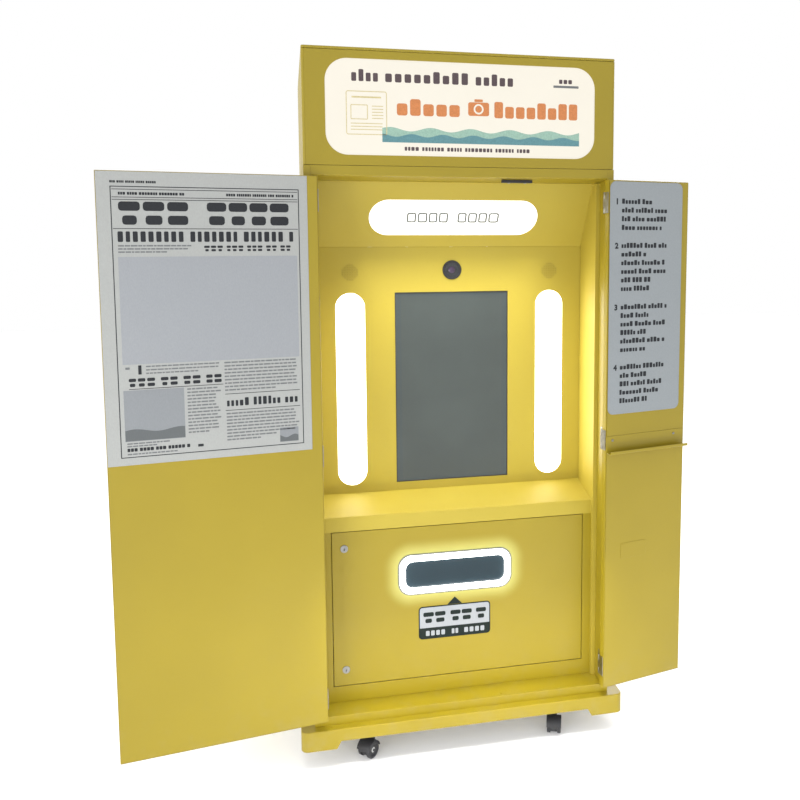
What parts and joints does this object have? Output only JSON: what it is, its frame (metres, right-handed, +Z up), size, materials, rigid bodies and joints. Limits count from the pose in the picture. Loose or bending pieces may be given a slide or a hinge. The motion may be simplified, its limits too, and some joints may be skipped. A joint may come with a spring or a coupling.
{
  "type": "photo booth kiosk",
  "caption": "Tall yellow sheet-metal photo kiosk on casters: lit header sign, recessed camera and touch screen, counter, print outlet in a service door, unequal front doors.",
  "frame": {"origin": "on the floor under the middle of the cabinet body", "axes": "+X to the right of someone facing the kiosk, +Y from front to back, +Z up"},
  "size_m": [1.7047, 0.7613, 2.087],
  "materials": {
    "cabinet_paint": "satin yellow powder coat",
    "recess_paint": "satin yellow powder coat, lit by the lamps",
    "bare_steel": "zinc-plated, satin",
    "sign_acrylic": "opal acrylic, printed",
    "light_diffuser": "opal acrylic",
    "black_plastic": "moulded, fine grain",
    "black_gloss": "gloss",
    "screen_glass": "cover glass, screen off",
    "grey_plastic": "moulded",
    "panel_print": "printed sheet, matt",
    "poster_print": "printed sheet, matt",
    "label_print": "printed film",
    "smoked_acrylic": "smoked, gloss",
    "rim_metal": "satin"
  },
  "bodies": {
    "cabinet": {"plinth_skirt": "cabinet_paint", "plinth_top": "cabinet_paint", "base_frame": "bare_steel", "caster_plates": "bare_steel", "left_side_panel": "cabinet_paint", "right_side_panel": "cabinet_paint", "rear_panel": "cabinet_paint", "top_rail": "cabinet_paint", "slanted_panel": "recess_paint", "recess_back_panel": "recess_paint", "recess_liners": "recess_paint", "counter_shelf": "recess_paint", "lower_front_frame": "cabinet_paint", "sill": "cabinet_paint", "header_shell": "cabinet_paint", "header_front": "cabinet_paint", "sign_panel": "sign_acrylic", "sign_light_bars": "light_diffuser", "top_light": "light_diffuser", "left_light": "light_diffuser", "right_light": "light_diffuser", "light_trays": "rim_metal", "camera_window": "black_gloss", "camera_module": "black_plastic", "monitor_housing": "black_plastic", "monitor_screen": "screen_glass", "speakers": "black_plastic", "door_catch": "black_plastic", "jamb_hinges": "bare_steel", "service_pivots": "bare_steel", "equipment_shelf": "bare_steel", "printer": "grey_plastic", "output_chute": "bare_steel", "mini_pc": "black_plastic", "power_supply": "rim_metal", "cooling_fans": "black_plastic", "power_inlet": "black_plastic"},
    "left_door": {"left_door": "cabinet_paint", "poster_panel": "poster_print", "left_door_hinges": "bare_steel"},
    "right_door": {"right_door": "cabinet_paint", "instruction_panel": "panel_print", "ledge": "cabinet_paint", "blanking_plate": "cabinet_paint", "right_door_hinges": "bare_steel"},
    "service_door": {"service_door": "cabinet_paint", "slot_surround": "rim_metal", "slot_light": "light_diffuser", "arrow_label": "label_print"},
    "delivery_flap": {"delivery_flap": "smoked_acrylic"},
    "upper_lock": {"upper_lock": "bare_steel"},
    "lower_lock": {"lower_lock": "bare_steel"},
    "fork_front_left": {"fork_front_left": "black_plastic"},
    "wheel_front_left": {"wheel_front_left": "black_plastic"},
    "fork_front_right": {"fork_front_right": "black_plastic"},
    "wheel_front_right": {"wheel_front_right": "black_plastic"},
    "fork_rear_left": {"fork_rear_left": "black_plastic"},
    "wheel_rear_left": {"wheel_rear_left": "black_plastic"},
    "fork_rear_right": {"fork_rear_right": "black_plastic"},
    "wheel_rear_right": {"wheel_rear_right": "black_plastic"}
  },
  "joints": [
    {"name": "left_door_hinge", "type": "hinge", "parent": "cabinet", "child": "left_door", "pos_m": [-0.43, -0.316, 0.94], "axis": [0, 0, -1], "range_deg": [-172, 20]},
    {"name": "right_door_hinge", "type": "hinge", "parent": "cabinet", "child": "right_door", "pos_m": [0.43, -0.316, 0.94], "axis": [0, 0, 1], "range_deg": [-192, 0]},
    {"name": "service_door_hinge", "type": "hinge", "parent": "cabinet", "child": "service_door", "pos_m": [0.3915, -0.228, 0.435], "axis": [0, 0, 1], "range_deg": [0, 90]},
    {"name": "delivery_flap_hinge", "type": "hinge", "parent": "service_door", "child": "delivery_flap", "pos_m": [-0.018, -0.229, 0.573], "axis": [1, 0, 0], "range_deg": [0, 60]},
    {"name": "upper_lock_turn", "type": "hinge", "parent": "service_door", "child": "upper_lock", "pos_m": [-0.361, -0.236, 0.625], "axis": [0, -1, 0], "range_deg": [0, 90]},
    {"name": "lower_lock_turn", "type": "hinge", "parent": "service_door", "child": "lower_lock", "pos_m": [-0.361, -0.236, 0.244], "axis": [0, -1, 0], "range_deg": [0, 90]},
    {"name": "swivel_front_left", "type": "hinge", "parent": "cabinet", "child": "fork_front_left", "pos_m": [-0.29, -0.288, 0.058], "axis": [0, 0, 1], "continuous": true},
    {"name": "roll_front_left", "type": "hinge", "parent": "fork_front_left", "child": "wheel_front_left", "pos_m": [-0.30273, -0.30073, 0.025], "axis": [0.7071, -0.7071, 0], "continuous": true},
    {"name": "swivel_front_right", "type": "hinge", "parent": "cabinet", "child": "fork_front_right", "pos_m": [0.29, -0.288, 0.058], "axis": [0, 0, 1], "continuous": true},
    {"name": "roll_front_right", "type": "hinge", "parent": "fork_front_right", "child": "wheel_front_right", "pos_m": [0.28384, -0.30491, 0.025], "axis": [0.9397, -0.342, 0], "continuous": true},
    {"name": "swivel_rear_left", "type": "hinge", "parent": "cabinet", "child": "fork_rear_left", "pos_m": [-0.29, 0.288, 0.058], "axis": [0, 0, 1], "continuous": true},
    {"name": "roll_rear_left", "type": "hinge", "parent": "fork_rear_left", "child": "wheel_rear_left", "pos_m": [-0.281, 0.30359, 0.025], "axis": [-0.866, 0.5, 0], "continuous": true},
    {"name": "swivel_rear_right", "type": "hinge", "parent": "cabinet", "child": "fork_rear_right", "pos_m": [0.29, 0.288, 0.058], "axis": [0, 0, 1], "continuous": true},
    {"name": "roll_rear_right", "type": "hinge", "parent": "fork_rear_right", "child": "wheel_rear_right", "pos_m": [0.28384, 0.30491, 0.025], "axis": [-0.9397, -0.342, 0], "continuous": true}
  ]
}
